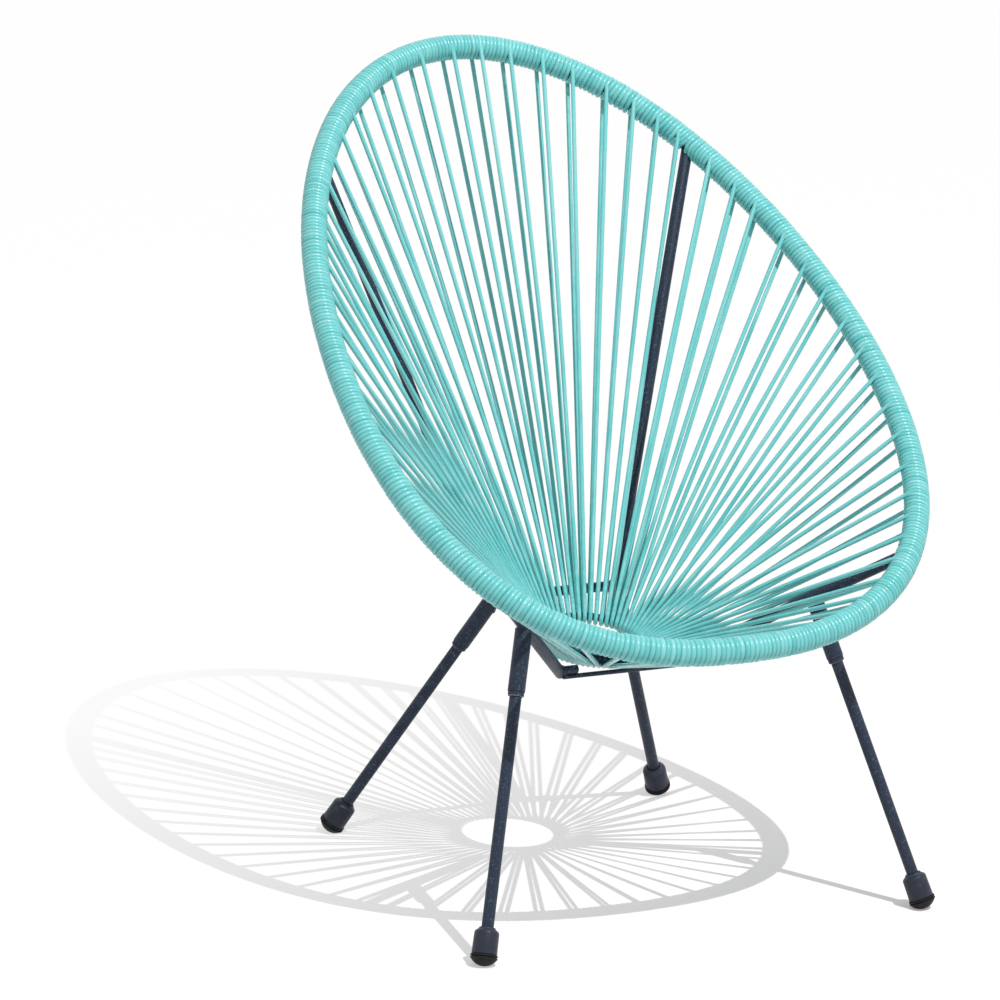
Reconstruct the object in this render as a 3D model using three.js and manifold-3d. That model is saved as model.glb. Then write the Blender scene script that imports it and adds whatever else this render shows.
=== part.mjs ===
// Acapulco lounge chair: a steel hoop on four splayed legs, wound and laced with round PVC cord.
// Millimetres, +Z up. The sitter faces -Y, the feet stand on z = 0 and the origin is the middle of
// the chair's outline on the floor. A "turn" is the angle round the hoop, zero at the top of the
// back and growing towards +X.

import * as THREE from 'three';
import { mergeVertices } from 'three/addons/utils/BufferGeometryUtils.js';
import Module from 'manifold-3d';

const wasm = await Module();
wasm.setup();

// Fits shared by all pieces
const fitGap = 0.3;
const cutOverrun = 40;

// Hoop line: across, along and rise are the main waves, the shares are their overtones
const hoopAcross = 311.1;
const hoopAcrossShares = [1, 0.2636, -0.0212, 0.0103];
const hoopAlong = 358.3;
const hoopAlongShares = [1, 0.3003, 0.0243, -0.0022];
const hoopRise = 273.3;
const hoopRiseShares = [1, 0.2814, 0.0187, 0.0022];
const hoopMidAlong = -106.9;
const hoopMidHeight = 552.1;
const hoopTubeDiameter = 20;

// Cord, its winding on the hoop and its lacing to the centre ring
const cordDiameter = 5;
const windingCrest = 0.3;
const windingGroove = 0.9;
const laceRootLiftShare = 0.82;
const laceRootReachShare = 0.48;
const lacesPerSector = [5, 5, 5, 5, 5, 5, 5, 4, 5, 5, 5, 5];
const sectorsPerBay = 3;
const ridgesPerLace = 2;

// Places of the laces as shares of their bay, from one rib to the next: back, right, front, left
const backLaceShares = [
  0.020, 0.093, 0.159, 0.241, 0.320, 0.404, 0.479, 0.541, 0.603, 0.670, 0.734, 0.808, 0.869, 0.926, 0.977,
];
const rightLaceShares = [
  0.055, 0.121, 0.176, 0.257, 0.327, 0.394, 0.467, 0.535, 0.597, 0.664, 0.731, 0.804, 0.869, 0.923, 0.973,
];
const frontLaceShares = [
  0.036, 0.107, 0.179, 0.250, 0.321, 0.393, 0.464, 0.536, 0.607, 0.679, 0.750, 0.821, 0.893, 0.964,
];
const leftLaceShares = [
  0.022, 0.073, 0.135, 0.201, 0.268, 0.334, 0.400, 0.467, 0.535, 0.606, 0.683, 0.758, 0.830, 0.899, 0.952,
];

// Centre ring that gathers the lacing
const ringRadius = 62;
const ringBarDiameter = 9;
const ringAlong = -30.9;
const ringHeight = 275.7;
const ringTilt = THREE.MathUtils.degToRad(9.45);

// Ribs from the hoop down to the base
const ribDiameter = 14;
const ribWall = 1.5;
const ribBoreDepth = 60;
const rearRibTurn = 0.599;
const rearRibEndAcross = 82.3;
const rearRibEndAlong = 63.6;
const rearRibTail = 9;
const frontRibTurn = 1.825;
const frontRibBeside = 14.7;
const frontRibAhead = 0.2;
const frontRibDrop = 11.1;
const frontRibRingDrop = 0.3;
const frontRibTail = 2;

// Ties between the ribs
const rearTieDiameter = 12;
const rearTieClearance = 2.7;
const frontRodDiameter = 5.5;
const frontRodInset = 1.7;
const returnDiameter = 10;
const returnWall = 1.2;
const returnLength = 24;

// Leg sockets, legs and their collars
const socketDiameter = 20;
const frontSocketLength = 75.5;
const rearSocketLength = 71;
const socketBoreDepth = 54;
const socketSeatShare = 0.45;
const frontSocketShare = 0.405;
const rearSocketShare = 1;
const collarDiameter = 18.6;
const collarHeight = 5;
const legDiameter = 14;
const legInsert = 48;
const spigotDiameter = 8;
const spigotLength = 8;

// Feet
const frontFootAcross = 287.6;
const frontFootAlong = -323.6;
const rearFootAcross = 221.1;
const rearFootAlong = 179.6;
const capDiameter = 29.2;
const capHeight = 24;
const capNeckDiameter = 19.4;
const capNeckHeight = 6.6;
const capFloor = 4;
const capBevel = 1.4;
const glideDiameter = 29.6;
const glideBand = 5;
const glideLip = 0.8;
const domeHeight = 8;
const padCut = 1;

// Facet counts
const cordSides = 6;
const windingSides = 8;
const hoopSides = 8;
const hoopStepsPerSector = 3;
const ringSides = 8;
const ringSteps = 30;
const tubeSides = 12;
const slimSides = 8;
const footSides = 16;
const domeSteps = 4;
const arcSamples = 2400;

// Colours
const cordColour = 0x68cfc4;
const steelColour = 0x2d3242;
const capColour = 0x3a4150;
const glideColour = 0x0d0e11;

const fullTurn = 2 * Math.PI;
const upward = new THREE.Vector3(0, 0, 1);

// Solids from point rings

function bufferOf(points, triangles) {
  const geometry = new THREE.BufferGeometry();
  const flat = points.flatMap((point) => [point.x, point.y, point.z]);
  geometry.setAttribute('position', new THREE.Float32BufferAttribute(flat, 3));
  geometry.setIndex(triangles.flat());
  return geometry;
}

function volumeOf(points, triangles) {
  const part = new THREE.Vector3();
  let sum = 0;
  for (const [a, b, c] of triangles) {
    sum += part.crossVectors(points[a], points[b]).dot(points[c]);
  }
  return sum;
}

function closedBody(points, triangles) {
  const sound = triangles.filter(([a, b, c]) => a !== b && b !== c && c !== a);
  const facing = volumeOf(points, sound) < 0 ? sound.map(([a, b, c]) => [a, c, b]) : sound;
  return bufferOf(points, facing);
}

function joinRings(rings, looped) {
  const sides = rings[0].length;
  const points = rings.flat();
  const triangles = [];
  const spans = looped ? rings.length : rings.length - 1;
  for (let row = 0; row < spans; row += 1) {
    const here = row * sides;
    const next = ((row + 1) % rings.length) * sides;
    for (let side = 0; side < sides; side += 1) {
      const other = (side + 1) % sides;
      triangles.push([here + side, here + other, next + other]);
      triangles.push([here + side, next + other, next + side]);
    }
  }
  if (!looped) {
    const last = (rings.length - 1) * sides;
    for (let side = 1; side < sides - 1; side += 1) {
      triangles.push([0, side + 1, side]);
      triangles.push([last, last + side, last + side + 1]);
    }
  }
  return closedBody(points, triangles);
}

function tidyGeometry(geometry) {
  const bare = geometry.clone();
  bare.deleteAttribute('normal');
  bare.deleteAttribute('uv');
  const merged = mergeVertices(bare);
  const place = merged.getAttribute('position');
  const points = [];
  for (let at = 0; at < place.count; at += 1) {
    points.push(new THREE.Vector3().fromBufferAttribute(place, at));
  }
  const triangles = [];
  for (let at = 0; at < merged.index.count; at += 3) {
    triangles.push([merged.index.getX(at), merged.index.getX(at + 1), merged.index.getX(at + 2)]);
  }
  return closedBody(points, triangles);
}

function solidOf(geometry) {
  const vertProperties = new Float32Array(geometry.getAttribute('position').array);
  const triVerts = new Uint32Array(geometry.index.array);
  return new wasm.Manifold(new wasm.Mesh({ numProp: 3, vertProperties, triVerts }));
}

function geometryOf(solid) {
  const mesh = solid.getMesh();
  const geometry = new THREE.BufferGeometry();
  geometry.setAttribute('position', new THREE.BufferAttribute(mesh.vertProperties, mesh.numProp));
  geometry.setIndex(new THREE.BufferAttribute(mesh.triVerts, 1));
  return geometry;
}

function joined(geometry, others) {
  return geometryOf(others.reduce((solid, other) => solid.add(solidOf(other)), solidOf(geometry)));
}

function cut(geometry, cutters) {
  return geometryOf(cutters.reduce((solid, cutter) => solid.subtract(solidOf(cutter)), solidOf(geometry)));
}

// A body of revolution about +Z from [radius, height] pairs that start and end on the axis
function turned(outline, sides) {
  const profile = outline.map(([radius, height]) => new THREE.Vector2(radius, height));
  const lathe = new THREE.LatheGeometry(profile, sides);
  lathe.rotateX(Math.PI / 2);
  return tidyGeometry(lathe);
}

function alongLine(geometry, from, to) {
  const direction = to.clone().sub(from).normalize();
  const turn = new THREE.Quaternion().setFromUnitVectors(upward, direction);
  return geometry.clone().applyQuaternion(turn).translate(from.x, from.y, from.z);
}

function roundBar(from, to, radius, sides) {
  const length = from.distanceTo(to);
  return alongLine(turned([[0, 0], [radius, 0], [radius, length], [0, length]], sides), from, to);
}

// A tube that is open at its far end, with a blind bore
function endedTube(from, to, radius, wall, boreDepth, sides) {
  const length = from.distanceTo(to);
  const bore = radius - wall;
  const outline = [[0, 0], [radius, 0], [radius, length], [bore, length], [bore, length - boreDepth],
    [0, length - boreDepth]];
  return alongLine(turned(outline, sides), from, to);
}

// The hoop's line, with the length measured along it

function wave(main, shares, turn, shape) {
  return shares.reduce((sum, share, at) => sum + main * share * shape((at + 1) * turn), 0);
}

function hoopPoint(turn) {
  return new THREE.Vector3(
    wave(hoopAcross, hoopAcrossShares, turn, Math.sin),
    hoopMidAlong + wave(hoopAlong, hoopAlongShares, turn, Math.cos),
    hoopMidHeight + wave(hoopRise, hoopRiseShares, turn, Math.cos),
  );
}

const arcTable = [0];
for (let at = 1; at <= arcSamples; at += 1) {
  const before = hoopPoint((at - 1) * fullTurn / arcSamples);
  arcTable.push(arcTable[at - 1] + before.distanceTo(hoopPoint(at * fullTurn / arcSamples)));
}
const hoopLength = arcTable[arcSamples];

function arcOf(turn) {
  const place = turn * arcSamples / fullTurn;
  const at = Math.min(Math.floor(place), arcSamples - 1);
  return arcTable[at] + (place - at) * (arcTable[at + 1] - arcTable[at]);
}

function turnOf(arc) {
  const wrapped = ((arc % hoopLength) + hoopLength) % hoopLength;
  let low = 0;
  let high = arcSamples;
  while (high - low > 1) {
    const middle = Math.floor((low + high) / 2);
    if (arcTable[middle] > wrapped) high = middle;
    else low = middle;
  }
  const share = (wrapped - arcTable[low]) / (arcTable[high] - arcTable[low]);
  return (low + share) * fullTurn / arcSamples;
}

// Centre ring frame: a point on its bar, the bar's direction and the ring's own directions

const ringCentre = new THREE.Vector3(0, ringAlong, ringHeight);

function ringPoint(angle, radius) {
  const reach = radius * Math.cos(angle);
  return new THREE.Vector3(
    radius * Math.sin(angle),
    reach * Math.cos(ringTilt),
    reach * Math.sin(ringTilt),
  ).add(ringCentre);
}

function ringTangent(angle) {
  return new THREE.Vector3(
    Math.cos(angle),
    -Math.sin(angle) * Math.cos(ringTilt),
    -Math.sin(angle) * Math.sin(ringTilt),
  );
}

// Hoop frame at a place on its length: outward from the ring, and out of the seat surface

function hoopFrame(arc) {
  const turn = turnOf(arc);
  const centre = hoopPoint(turn);
  const step = fullTurn / arcSamples;
  const tangent = hoopPoint(turn + step).sub(hoopPoint(turn - step)).normalize();
  const outward = centre.clone().sub(ringCentre);
  outward.addScaledVector(tangent, -outward.dot(tangent)).normalize();
  const inner = new THREE.Vector3().crossVectors(tangent, outward).normalize();
  return { centre, tangent, outward, inner };
}

function hoopSection(arc, radius, sides) {
  const frame = hoopFrame(arc);
  return Array.from({ length: sides }, (_, side) => {
    const angle = side * fullTurn / sides;
    return frame.centre.clone()
      .addScaledVector(frame.outward, radius * Math.cos(angle))
      .addScaledVector(frame.inner, radius * Math.sin(angle));
  });
}

// Bays between the ribs, sectors of the bays and laces of the sectors

const hoopRadius = hoopTubeDiameter / 2;
const cordRadius = cordDiameter / 2;
const layRadius = hoopRadius + fitGap + cordRadius;
const bayTurns = [
  -rearRibTurn, rearRibTurn, frontRibTurn, fullTurn - frontRibTurn, fullTurn - rearRibTurn,
];
const bayArcs = bayTurns.map((turn) => (turn < 0 ? -arcOf(-turn) : arcOf(turn)));

function sectorPlan() {
  const plan = [];
  let lace = 0;
  const bays = [backLaceShares, rightLaceShares, frontLaceShares, leftLaceShares];
  bays.forEach((shares, bay) => {
    const start = bayArcs[bay];
    const end = bayArcs[bay + 1];
    const arcs = shares.map((share) => start + share * (end - start));
    let done = 0;
    for (const count of lacesPerSector.slice(bay * sectorsPerBay, (bay + 1) * sectorsPerBay)) {
      const last = done + count;
      plan.push({
        start: done === 0 ? start : (arcs[done - 1] + arcs[done]) / 2,
        end: last === arcs.length ? end : (arcs[last - 1] + arcs[last]) / 2,
        firstLace: lace + done,
        arcs: arcs.slice(done, last),
      });
      done = last;
    }
    lace += arcs.length;
  });
  return plan;
}

const sectors = sectorPlan();
const laceTotal = lacesPerSector.reduce((sum, count) => sum + count, 0);
const firstLaceOffset = (backLaceShares.length - 1) / 2;

function hoopArcs(sector, last) {
  const step = (sector.end - sector.start) / hoopStepsPerSector;
  return Array.from({ length: hoopStepsPerSector + last }, (_, at) => sector.start + at * step);
}

function hoopTube(radius) {
  const arcs = sectors.flatMap((sector) => hoopArcs(sector, 0));
  return joinRings(arcs.map((arc) => hoopSection(arc, radius, hoopSides)), true);
}

function hoopStretch(sector, radius, overrun) {
  const rings = hoopArcs(sector, 1).map((arc) => hoopSection(arc, radius, hoopSides));
  const first = hoopFrame(sector.start).tangent.multiplyScalar(-overrun);
  const last = hoopFrame(sector.end).tangent.multiplyScalar(overrun);
  rings.unshift(rings[0].map((point) => point.clone().add(first)));
  rings.push(rings[rings.length - 1].map((point) => point.clone().add(last)));
  return joinRings(rings, false);
}

// Winding: one helical ridge runs the whole sector, crest and groove in turn

const windingOuter = layRadius + cordRadius;

function windingSkin(sector) {
  const ridges = sector.arcs.length * ridgesPerLace;
  const pitch = (sector.end - sector.start) / ridges;
  const rows = 2 * (ridges + 1) + 1;
  const start = sector.start - pitch;
  const points = [];
  for (let row = 0; row < rows; row += 1) {
    const radius = row % 2 ? windingOuter - windingGroove : windingOuter + windingCrest;
    for (let side = 0; side < windingSides; side += 1) {
      const arc = start + (row / 2 + side / windingSides) * pitch;
      const section = hoopSection(arc, radius, windingSides);
      points.push(section[side]);
    }
  }
  const at = (row, side) => (side < windingSides
    ? row * windingSides + side
    : (row + 2) * windingSides);
  const triangles = [];
  for (let row = 0; row < rows - 1; row += 1) {
    for (let side = 0; side < windingSides; side += 1) {
      if (side === windingSides - 1 && row + 1 > rows - 3) continue;
      triangles.push([at(row, side), at(row, side + 1), at(row + 1, side + 1)]);
      triangles.push([at(row, side), at(row + 1, side + 1), at(row + 1, side)]);
    }
  }
  return capOpenEdges(points, triangles, [hoopFrame(start).centre, hoopFrame(sector.end + pitch).centre]);
}

// Closes each open edge loop with a fan to its own hub point
function capOpenEdges(points, triangles, hubs) {
  const open = new Map();
  for (const [a, b, c] of triangles) {
    for (const [from, to] of [[a, b], [b, c], [c, a]]) {
      if (open.get(to)?.has(from)) open.get(to).delete(from);
      else open.set(from, (open.get(from) ?? new Set()).add(to));
    }
  }
  const loops = [];
  const used = new Set();
  for (const start of open.keys()) {
    if (used.has(start) || open.get(start).size === 0) continue;
    const loop = [];
    let at = start;
    while (!used.has(at)) {
      used.add(at);
      loop.push(at);
      [at] = open.get(at);
    }
    loops.push(loop);
  }
  const all = [...points];
  const faces = [...triangles];
  for (const loop of loops) {
    const near = hubs.reduce((best, hub) => (
      hub.distanceTo(points[loop[0]]) < best.distanceTo(points[loop[0]]) ? hub : best));
    all.push(near);
    loop.forEach((from, step) => faces.push([loop[(step + 1) % loop.length], from, all.length - 1]));
  }
  return closedBody(all, faces);
}

// A cord of even section swept along straight runs, mitred at each bend

function sweptCord(path, radius, firstSide) {
  const runs = path.slice(1).map((point, at) => point.clone().sub(path[at]).normalize());
  const across = firstSide.clone().addScaledVector(runs[0], -firstSide.dot(runs[0])).normalize();
  const other = new THREE.Vector3().crossVectors(runs[0], across);
  let ring = Array.from({ length: cordSides }, (_, side) => {
    const angle = side * fullTurn / cordSides;
    return path[0].clone()
      .addScaledVector(across, radius * Math.cos(angle))
      .addScaledVector(other, radius * Math.sin(angle));
  });
  const rings = [ring];
  for (let at = 1; at < path.length; at += 1) {
    const run = runs[at - 1];
    const plane = at < runs.length ? run.clone().add(runs[at]).normalize() : run;
    ring = ring.map((point) => {
      const reach = path[at].clone().sub(point).dot(plane) / run.dot(plane);
      return point.clone().addScaledVector(run, reach);
    });
    rings.push(ring);
  }
  return rings;
}

// One lace leaves the seat side of the winding, rounds the centre ring and returns behind the hoop

const ringBarRadius = ringBarDiameter / 2;
const bendRadius = ringBarRadius + fitGap + cordRadius;
const bendStep = Math.PI / 6;

function laceRoute(lace, arc) {
  const frame = hoopFrame(arc);
  const angle = (lace - firstLaceOffset) * fullTurn / laceTotal;
  const seat = ringPoint(angle, ringRadius);
  const bar = ringTangent(angle);
  const run = seat.clone().sub(frame.centre);
  run.addScaledVector(bar, -run.dot(bar)).normalize();
  const over = new THREE.Vector3().crossVectors(run, bar).normalize();
  if (over.dot(frame.inner) < 0) over.negate();
  const lead = bendRadius * Math.tan(bendStep);
  const nose = bendRadius / Math.cos(bendStep);
  const bends = [
    seat.clone().addScaledVector(over, bendRadius).addScaledVector(run, lead),
    seat.clone().addScaledVector(run, nose),
    seat.clone().addScaledVector(over, -bendRadius).addScaledVector(run, lead),
  ];
  const rootLift = layRadius * laceRootLiftShare;
  const [upper, lower] = [rootLift, -rootLift].map((lift) => frame.centre.clone()
    .addScaledVector(frame.inner, lift)
    .addScaledVector(frame.outward, -layRadius * laceRootReachShare));
  return { path: [upper, ...bends, lower], side: frame.inner };
}

function laceBody(lace, arc) {
  const route = laceRoute(lace, arc);
  return joinRings(sweptCord(route.path, cordRadius, route.side), false);
}

// Underside of the lacing, which the base hangs below: the lower run that passes nearest in plan

const underRuns = sectors.flatMap((sector) => sector.arcs.map((arc, at) => {
  const { path } = laceRoute(sector.firstLace + at, arc);
  return { inner: path[path.length - 2], outer: path[path.length - 1] };
}));

function lacingOver(across, along) {
  const passes = underRuns.map(({ inner, outer }) => {
    const reach = outer.clone().sub(inner);
    const plan = reach.x ** 2 + reach.y ** 2;
    const share = ((across - inner.x) * reach.x + (along - inner.y) * reach.y) / plan;
    const place = inner.clone().addScaledVector(reach, Math.max(0, share));
    const slope = reach.z / Math.sqrt(plan);
    return { away: Math.hypot(place.x - across, place.y - along), height: place.z, slope };
  });
  return passes.reduce((best, pass) => (pass.away < best.away ? pass : best));
}

// Heights of the ribs' lower ends

const overRearTie = lacingOver(0, rearRibEndAlong);
const rearTieDepth = rearTieDiameter / 2 + rearTieClearance + cordRadius;
const rearRibEndHeight = overRearTie.height - rearTieDepth * Math.hypot(1, overRearTie.slope);
const frontRibEndAcross = ringRadius + frontRibBeside;
const frontRibEndAlong = ringAlong - ringRadius - frontRibAhead;
const frontRibEndHeight = Math.min(
  lacingOver(frontRibEndAcross, frontRibEndAlong).height - frontRibDrop,
  lacingOver(frontRibEndAcross - returnLength, frontRibEndAlong).height - frontRibDrop,
  lacingOver(0, frontRibEndAlong).height - frontRibRingDrop,
);

// Ribs

const ribRadius = ribDiameter / 2;

function ribLine(sideSign, rear) {
  const top = hoopPoint(rear ? rearRibTurn : frontRibTurn);
  const end = rear
    ? new THREE.Vector3(rearRibEndAcross, rearRibEndAlong, rearRibEndHeight)
    : new THREE.Vector3(frontRibEndAcross, frontRibEndAlong, frontRibEndHeight);
  const mirror = new THREE.Vector3(sideSign, 1, 1);
  return { top: top.multiply(mirror), end: end.multiply(mirror) };
}

function ribFoot(line, rear) {
  const direction = line.end.clone().sub(line.top).normalize();
  return line.end.clone().addScaledVector(direction, rear ? rearRibTail : frontRibTail);
}

const ribPlan = [
  { name: 'rear_left', sideSign: -1, rear: true },
  { name: 'rear_right', sideSign: 1, rear: true },
  { name: 'front_left', sideSign: -1, rear: false },
  { name: 'front_right', sideSign: 1, rear: false },
].map((plan) => ({ ...plan, line: ribLine(plan.sideSign, plan.rear) }));

const ribRooms = ribPlan.map(({ line, rear }) => roundBar(
  line.top,
  ribFoot(line, rear).addScaledVector(line.end.clone().sub(line.top).normalize(), fitGap),
  ribRadius + fitGap,
  tubeSides,
));

// Materials and the scene graph

const cordMaterial = new THREE.MeshStandardMaterial({ color: cordColour, roughness: 0.35, metalness: 0 });
const steelMaterial = new THREE.MeshStandardMaterial({ color: steelColour, roughness: 0.5, metalness: 0.4 });
const capMaterial = new THREE.MeshStandardMaterial({ color: capColour, roughness: 0.55, metalness: 0 });
const glideMaterial = new THREE.MeshStandardMaterial({ color: glideColour, roughness: 0.7, metalness: 0 });

function piece(name, geometry, material) {
  const mesh = new THREE.Mesh(geometry, material.clone());
  mesh.geometry.computeVertexNormals();
  mesh.name = name;
  return mesh;
}

const chair = new THREE.Group();
const frameGroup = new THREE.Group();
const cordGroup = new THREE.Group();
chair.add(frameGroup, cordGroup);

// Hoop and centre ring

frameGroup.add(piece('rim_hoop', hoopTube(hoopRadius), steelMaterial));

const ringRings = Array.from({ length: ringSteps }, (_, step) => {
  const angle = step * fullTurn / ringSteps;
  const outward = ringPoint(angle, 1).sub(ringCentre);
  const normal = new THREE.Vector3().crossVectors(ringTangent(angle), outward);
  return Array.from({ length: ringSides }, (_unused, side) => {
    const swing = (side + 1 / 2) * fullTurn / ringSides;
    return ringPoint(angle, ringRadius)
      .addScaledVector(outward, ringBarRadius * Math.cos(swing))
      .addScaledVector(normal, ringBarRadius * Math.sin(swing));
  });
});
frameGroup.add(piece('centre_ring', joinRings(ringRings, true), steelMaterial));

// Cord sectors: winding, laces, bore for the hoop, ends and rib notches

const hoopRoom = hoopRadius + fitGap / Math.cos(Math.PI / hoopSides);
const blockSize = cutOverrun * 2;

function endBlock(arc, direction) {
  const frame = hoopFrame(arc);
  const along = frame.tangent.multiplyScalar(direction);
  const block = new THREE.BoxGeometry(blockSize, blockSize, blockSize);
  const turn = new THREE.Quaternion().setFromUnitVectors(upward, along);
  const centre = frame.centre.addScaledVector(along, blockSize / 2 - fitGap / 2);
  return tidyGeometry(block).applyQuaternion(turn).translate(centre.x, centre.y, centre.z);
}

sectors.forEach((sector, index) => {
  const wound = cut(windingSkin(sector), [endBlock(sector.start, -1), endBlock(sector.end, 1)]);
  const laces = sector.arcs.map((arc, at) => laceBody(sector.firstLace + at, arc));
  const cutters = [hoopStretch(sector, hoopRoom, cutOverrun / 4), ...ribRooms];
  const name = `seat_cord_${String(index + 1).padStart(2, '0')}`;
  cordGroup.add(piece(name, cut(joined(wound, laces), cutters), cordMaterial));
});

// Ribs, open at the foot

const hoopBody = hoopTube(hoopRoom);
for (const { name, line, rear } of ribPlan) {
  const tube = endedTube(line.top, ribFoot(line, rear), ribRadius, ribWall, ribBoreDepth, tubeSides);
  frameGroup.add(piece(`rib_${name}`, cut(tube, [hoopBody]), steelMaterial));
}

// Ties: the tube between the rear ribs, the short returns of the front ribs and the rod under them

const rearTieEnds = [-1, 1].map((sideSign) => new THREE.Vector3(
  sideSign * rearRibEndAcross,
  rearRibEndAlong,
  rearRibEndHeight,
));
const rearTie = roundBar(rearTieEnds[0], rearTieEnds[1], rearTieDiameter / 2, tubeSides);
frameGroup.add(piece('tie_rear', cut(rearTie, ribRooms), steelMaterial));

function returnStart({ top, end }) {
  return end.clone().addScaledVector(end.clone().sub(top).normalize(), -ribRadius);
}

const returnRadius = returnDiameter / 2;
for (const { name, line, sideSign } of ribPlan.filter((plan) => !plan.rear)) {
  const from = returnStart(line);
  const to = from.clone().add(new THREE.Vector3(-sideSign * returnLength, 0, 0));
  const stub = endedTube(from, to, returnRadius, returnWall, returnLength / 2, slimSides);
  frameGroup.add(piece(`rib_return_${name}`, cut(stub, ribRooms), steelMaterial));
}

const frontRodEnds = ribPlan.filter((plan) => !plan.rear).map(({ line, sideSign }) => {
  const end = returnStart(line);
  end.x = sideSign * (frontRibEndAcross - frontRodInset);
  end.z -= returnRadius + fitGap + frontRodDiameter / 2;
  return end;
});
const frontRod = roundBar(frontRodEnds[0], frontRodEnds[1], frontRodDiameter / 2, slimSides);
frameGroup.add(piece('tie_rod_front', cut(frontRod, ribRooms), steelMaterial));

// Legs: socket, collar, leg, cap and glide share one axis, with z = 0 at the glide's dome centre

const legRadius = legDiameter / 2;
const capRadius = capDiameter / 2;
const glideRadius = glideDiameter / 2;
const domeRadius = (glideRadius ** 2 + domeHeight ** 2) / (2 * domeHeight);
const domeCentreHeight = domeRadius - padCut;
const domeTop = domeHeight - domeRadius;
const glideTop = domeTop + glideBand;
const capBase = glideTop + fitGap;
const capTop = capBase + capHeight;
const neckTop = capTop + capNeckHeight;
const legBase = capBase + capFloor + fitGap;

function glideOutline() {
  const widest = Math.asin(glideRadius / domeRadius);
  const dome = Array.from({ length: domeSteps + 1 }, (_, at) => {
    const swing = at * widest / domeSteps;
    return [domeRadius * Math.sin(swing), -domeRadius * Math.cos(swing)];
  });
  const lipRadius = glideRadius - glideLip;
  return [...dome, [glideRadius, glideTop - glideLip], [lipRadius, glideTop], [0, glideTop]];
}

function capOutline() {
  const bore = legRadius + fitGap;
  const neckRadius = capNeckDiameter / 2;
  return [
    [0, capBase], [capRadius - capBevel, capBase], [capRadius, capBase + capBevel],
    [capRadius, capTop], [neckRadius, neckTop], [bore, neckTop], [bore, capBase + capFloor],
    [0, capBase + capFloor],
  ];
}

for (const { name, line, rear, sideSign } of ribPlan) {
  const foot = new THREE.Vector3(
    sideSign * (rear ? rearFootAcross : frontFootAcross),
    rear ? rearFootAlong : frontFootAlong,
    domeCentreHeight,
  );
  const seat = line.top.clone().lerp(line.end, rear ? rearSocketShare : frontSocketShare);
  const axis = seat.clone().sub(foot).normalize();
  const reach = seat.distanceTo(foot);
  const group = new THREE.Group();
  group.position.copy(foot);
  group.quaternion.setFromUnitVectors(upward, axis);
  group.updateMatrix();
  const toLocal = group.matrix.clone().invert();
  const inPlace = (geometry) => geometry.clone().applyMatrix4(toLocal);

  const socketTop = reach - ribRadius * socketSeatShare;
  const socketBase = reach - (rear ? rearSocketLength : frontSocketLength);
  const boreTop = socketBase + socketBoreDepth;
  const legTop = socketBase + legInsert;
  const bore = legRadius + fitGap;
  const spigot = spigotDiameter / 2;
  const socket = turned([
    [bore, socketBase], [socketDiameter / 2, socketBase], [socketDiameter / 2, socketTop], [0, socketTop],
    [0, legTop + spigotLength + 2 * fitGap], [spigot + fitGap, legTop + spigotLength + 2 * fitGap],
    [spigot + fitGap, boreTop], [bore, boreTop], [bore, socketBase],
  ], tubeSides);
  const cutters = ribRooms.map(inPlace);
  group.add(piece(`leg_socket_${name}`, cut(socket, cutters), steelMaterial));

  const collarRadius = collarDiameter / 2;
  const collarTop = socketBase - fitGap;
  const collarBase = collarTop - collarHeight;
  const collar = turned([
    [bore, collarBase], [collarRadius, collarBase], [collarRadius, collarTop], [bore, collarTop],
    [bore, collarBase],
  ], tubeSides);
  group.add(piece(`leg_collar_${name}`, collar, steelMaterial));

  const leg = turned([
    [0, legBase], [legRadius, legBase], [legRadius, legTop], [spigot, legTop],
    [spigot, legTop + spigotLength], [0, legTop + spigotLength],
  ], tubeSides);
  group.add(piece(`leg_${name}`, leg, steelMaterial));
  group.add(piece(`foot_cap_${name}`, turned(capOutline(), footSides), capMaterial));

  const floorBlock = tidyGeometry(new THREE.BoxGeometry(blockSize, blockSize, blockSize))
    .translate(foot.x, foot.y, -blockSize / 2);
  const glide = cut(turned(glideOutline(), footSides), [inPlace(floorBlock)]);
  group.add(piece(`foot_glide_${name}`, glide, glideMaterial));
  frameGroup.add(group);
}

export default chair;
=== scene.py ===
"""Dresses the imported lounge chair: a steel hoop on four legs, wound and laced with round PVC cord.

Every size is in metres, written as a count of millimetres times MM. The sitter faces -Y and the
feet stand on z = 0. A "turn" is the angle round the hoop, zero at the top of the back and growing
towards +X, and an "arc" is the length along the hoop from that same place. A "swing" is the angle
round the hoop's tube, from its outer side towards the seat.
"""

import logging
import math
from abc import ABC, abstractmethod
from dataclasses import dataclass, field
from enum import Enum

import bmesh
import bpy
import numpy as np
from mathutils import Matrix, Vector


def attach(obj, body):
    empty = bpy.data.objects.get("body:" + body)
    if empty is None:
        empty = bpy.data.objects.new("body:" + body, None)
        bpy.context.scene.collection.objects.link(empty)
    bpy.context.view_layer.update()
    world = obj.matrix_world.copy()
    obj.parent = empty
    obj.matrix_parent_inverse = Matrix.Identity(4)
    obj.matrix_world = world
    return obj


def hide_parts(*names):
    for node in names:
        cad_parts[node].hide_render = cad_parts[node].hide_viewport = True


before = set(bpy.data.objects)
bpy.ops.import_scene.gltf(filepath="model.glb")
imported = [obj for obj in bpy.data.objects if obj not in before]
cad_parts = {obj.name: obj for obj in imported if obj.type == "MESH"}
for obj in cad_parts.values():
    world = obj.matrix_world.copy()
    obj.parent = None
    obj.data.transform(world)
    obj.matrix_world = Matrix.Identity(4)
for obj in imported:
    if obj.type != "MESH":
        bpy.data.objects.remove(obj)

Floats = tuple[float, ...]
Form = bmesh.types.BMesh
Material = bpy.types.Material
Node = bpy.types.Node
Piece = bpy.types.Object
Rows = np.ndarray
Span = tuple[float, float]
Tree = bpy.types.NodeTree
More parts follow.
